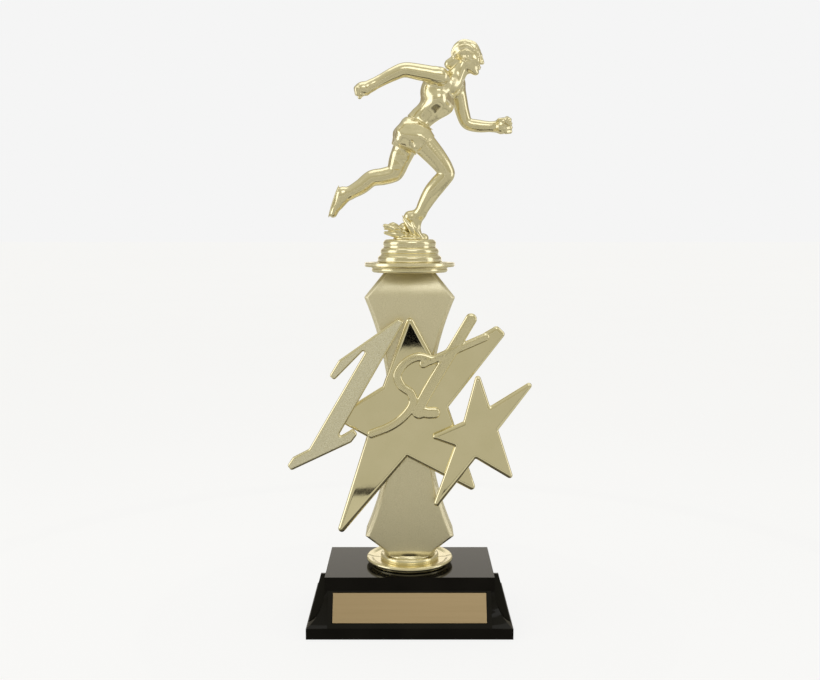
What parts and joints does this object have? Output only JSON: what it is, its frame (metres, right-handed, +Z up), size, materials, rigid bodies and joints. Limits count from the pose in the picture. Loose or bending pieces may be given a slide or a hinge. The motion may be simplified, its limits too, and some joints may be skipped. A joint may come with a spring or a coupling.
{
  "type": "figure trophy",
  "caption": "Award trophy: a gold running figure on a faceted riser with stars and a numeral, bolted to a black weighted base with a blank engraving plate.",
  "frame": {"origin": "middle of the underside, on the felt pad", "axes": "+Z up along the tie rod; -Y out of the front, where the engraving plate and the stars are; +X to the right of a viewer in front, the way the figure runs"},
  "size_m": [0.1327, 0.0724, 0.3179],
  "materials": {
    "black_plastic": "gloss black moulding",
    "satin_gold": "pale gold metallised plastic, fine stipple",
    "polished_gold": "pale gold metallised plastic, polished",
    "plate_metal": "satin bronze anodised",
    "adhesive": "foam tape",
    "cast_weight": "as cast",
    "felt": "felt",
    "zinc_steel": "zinc plated"
  },
  "bodies": {
    "base": {"base_shell": "black_plastic", "base_weight": "cast_weight", "base_pad": "felt", "engraving_plate": "plate_metal", "plate_tape": "adhesive"},
    "riser": {"riser_front_shell": "satin_gold", "riser_rear_shell": "satin_gold", "large_star": "polished_gold", "numeral_one": "satin_gold", "ordinal_letters": "polished_gold", "small_star": "polished_gold", "tie_rod": "zinc_steel", "clamp_washer": "zinc_steel", "lock_washer": "zinc_steel", "clamp_nut": "zinc_steel"},
    "figure": {"figure_pedestal": "polished_gold", "figure_nut": "zinc_steel", "ground_tuft": "polished_gold", "runner": "polished_gold"}
  },
  "joints": [
    {"name": "riser_turn", "type": "hinge", "parent": "base", "child": "riser", "pos_m": [0, 0, 0.0309], "axis": [0, 0, 1], "continuous": true},
    {"name": "figure_turn", "type": "hinge", "parent": "riser", "child": "figure", "pos_m": [0, 0, 0.1997], "axis": [0, 0, 1], "continuous": true}
  ]
}
